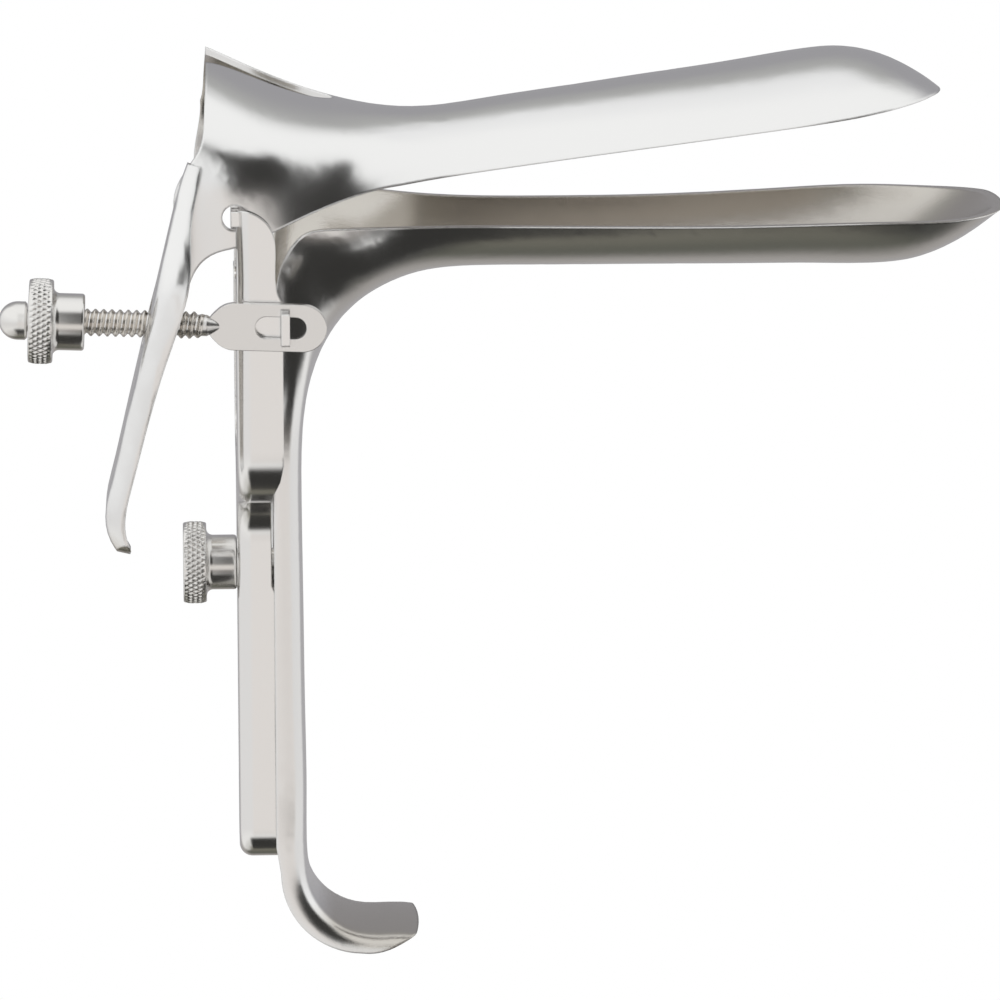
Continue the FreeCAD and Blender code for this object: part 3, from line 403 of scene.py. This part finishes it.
class Sky:
    """Builds a node tree of tones over a direction's azimuth and height, both in degrees.

    Azimuth is 0 towards the camera, 90 to the part's front end, and 180 away from the camera.
    """

    def __init__(self, tree):
        self.nodes = tree.nodes
        self.links = tree.links
        place = self.nodes.new("ShaderNodeTexCoord")
        split = self.nodes.new("ShaderNodeSeparateXYZ")
        self.links.new(place.outputs["Generated"], split.inputs["Vector"])
        nearer = self.math("MULTIPLY", split.outputs["Y"], -1.0)
        turn = self.math("ARCTAN2", split.outputs["X"], nearer)
        rise = self.math("ARCSINE", split.outputs["Z"])
        self.azimuth = self.math("DEGREES", turn)
        self.height = self.math("DEGREES", rise)

    def math(self, kind, first, second=None):
        """The result of a math node on one or two inputs, each a socket or a number."""
        node = self.nodes.new("ShaderNodeMath")
        node.operation = kind
        for index, value in enumerate((first, second)):
            if isinstance(value, float):
                node.inputs[index].default_value = value
            elif value is not None:
                self.links.new(value, node.inputs[index])
        return node.outputs["Value"]

    def step(self, value, low, high):
        """0 below low and 1 above high, or the other way round where high is the smaller."""
        node = self.nodes.new("ShaderNodeMapRange")
        node.interpolation_type = "SMOOTHSTEP"
        socket(node, "From Min", min(low, high))
        socket(node, "From Max", max(low, high))
        socket(node, "To Min", 0.0 if low < high else 1.0)
        socket(node, "To Max", 1.0 if low < high else 0.0)
        self.links.new(value, node.inputs["Value"])
        return node.outputs["Result"]

    def patch(self, azimuths, heights):
        """A soft patch. Each side is (start, full, still full, end)."""
        mask = None
        for value, stops in ((self.azimuth, azimuths), (self.height, heights)):
            for low, high in (stops[:2], (stops[3], stops[2])):
                part = self.step(value, low, high)
                mask = part if mask is None else self.math("MULTIPLY", mask, part)
        return mask

    def ramp(self, stops):
        """Tones over height, from straight down to straight up."""
        node = self.nodes.new("ShaderNodeValToRGB")
        node.color_ramp.interpolation = "EASE"
        elements = node.color_ramp.elements
        while len(elements) < len(stops):
            elements.new(0.5)
        for element, (height, colour) in zip(elements, stops):
            element.position = (height + 90.0) / 180.0
            element.color = (*colour, 1.0)
        share = self.math("DIVIDE", self.math("ADD", self.height, 90.0), 180.0)
        self.links.new(share, node.inputs["Fac"])
        return node.outputs["Color"]

    def mix(self, mask, below, above):
        """One tone where the mask is 0 and another where it is 1, each a socket or a colour."""
        node = self.nodes.new("ShaderNodeMix")
        node.data_type = "RGBA"
        self.links.new(mask, node.inputs[0])
        for index, value in ((6, below), (7, above)):
            if isinstance(value, tuple):
                node.inputs[index].default_value = (*value, 1.0)
            else:
                self.links.new(value, node.inputs[index])
        return node.outputs[2]


def make_world():
    """A studio tent: white to the camera. Reflections see pale cloth, a grey wall and dark cards."""
    world = bpy.data.worlds.new("tent")
    bpy.context.scene.world = world
    world.use_nodes = True
    nodes = world.node_tree.nodes
    links = world.node_tree.links
    nodes.clear()
    sky = Sky(world.node_tree)
    away = sky.math("ABSOLUTE", sky.azimuth)
    behind = sky.step(away, BEHIND_START, BEHIND_FULL)
    tones = sky.mix(behind, sky.ramp(TONES_AHEAD), sky.ramp(TONES_BEHIND))
    left = sky.math("MULTIPLY", sky.patch(*LEFT_CLOTH), sky.step(away, BEHIND_FULL, BEHIND_START))
    tones = sky.mix(left, tones, LIT_CLOTH)
    for azimuths, heights, tone in CARDS:
        tones = sky.mix(sky.patch(azimuths, heights), tones, tone)
    output = nodes.new("ShaderNodeOutputWorld")
    tent = nodes.new("ShaderNodeBackground")
    links.new(tones, tent.inputs["Color"])
    white = nodes.new("ShaderNodeBackground")
    socket(white, "Color", (1.0, 1.0, 1.0, 1.0))
    rays = nodes.new("ShaderNodeLightPath")
    mixed = nodes.new("ShaderNodeMixShader")
    links.new(rays.outputs["Is Camera Ray"], mixed.inputs["Fac"])
    links.new(tent.outputs["Background"], mixed.inputs[1])
    links.new(white.outputs["Background"], mixed.inputs[2])
    links.new(mixed.outputs["Shader"], output.inputs["Surface"])


def make_floor():
    """A pale floor, well below the part, which is held up."""
    bpy.ops.mesh.primitive_circle_add(
        vertices=96, radius=FLOOR_RADIUS, fill_type="NGON", location=FLOOR_PLACE
    )
    floor = bpy.context.active_object
    floor.name = "floor"
    paint = bpy.data.materials.new("floor_paint")
    paint.use_nodes = True
    shader = paint.node_tree.nodes["Principled BSDF"]
    socket(shader, "Base Color", (0.9, 0.9, 0.9, 1.0))
    socket(shader, "Roughness", 0.9)
    floor.data.materials.append(paint)
    floor.visible_glossy = False


def make_lamp():
    """A large soft lamp, above the part and to its left, that no reflection shows."""
    data = bpy.data.lights.new("key_lamp", "AREA")
    data.shape = "SQUARE"
    data.size = LAMP_SIZE
    data.energy = LAMP_POWER
    lamp = bpy.data.objects.new("key_lamp", data)
    bpy.context.scene.collection.objects.link(lamp)
    lamp.location = LAMP_PLACE
    lamp.rotation_euler = (CAMERA_AIM - Vector(LAMP_PLACE)).to_track_quat("-Z", "Y").to_euler()
    lamp.visible_camera = False
    lamp.visible_glossy = False


def make_camera():
    """The photograph's view."""
    direction = Vector(
        (
            -math.sin(CAMERA_TURN) * math.cos(CAMERA_RISE),
            -math.cos(CAMERA_TURN) * math.cos(CAMERA_RISE),
            math.sin(CAMERA_RISE),
        )
    )
    data = bpy.data.cameras.new("camera")
    data.lens = CAMERA_LENS
    data.sensor_width = CAMERA_SENSOR
    camera = bpy.data.objects.new("camera", data)
    bpy.context.scene.collection.objects.link(camera)
    camera.location = CAMERA_AIM + direction * CAMERA_DISTANCE
    camera.rotation_euler = (-direction).to_track_quat("-Z", "Y").to_euler()
    bpy.context.scene.camera = camera


dress_nodes()
clamp_place = Matrix.Translation(CLAMP_NUT_SEAT)
lever_place = (
    Matrix.Translation(LUG) @ Matrix.Rotation(SCREW_TILT, 4, "Y") @ Matrix.Translation(LEVER_NUT_SEAT)
)
make_nut("clamp_nut_knurled", "clamp_nut", "clamp_thumb_nut", clamp_place, CLAMP_NUT_BORE)
make_nut("lever_nut_knurled", "lever_nut", "lever_thumb_nut", lever_place, LEVER_NUT_BORE)
make_thread()
make_world()
make_floor()
make_lamp()
make_camera()

bpy.context.scene.view_settings.view_transform = "Standard"
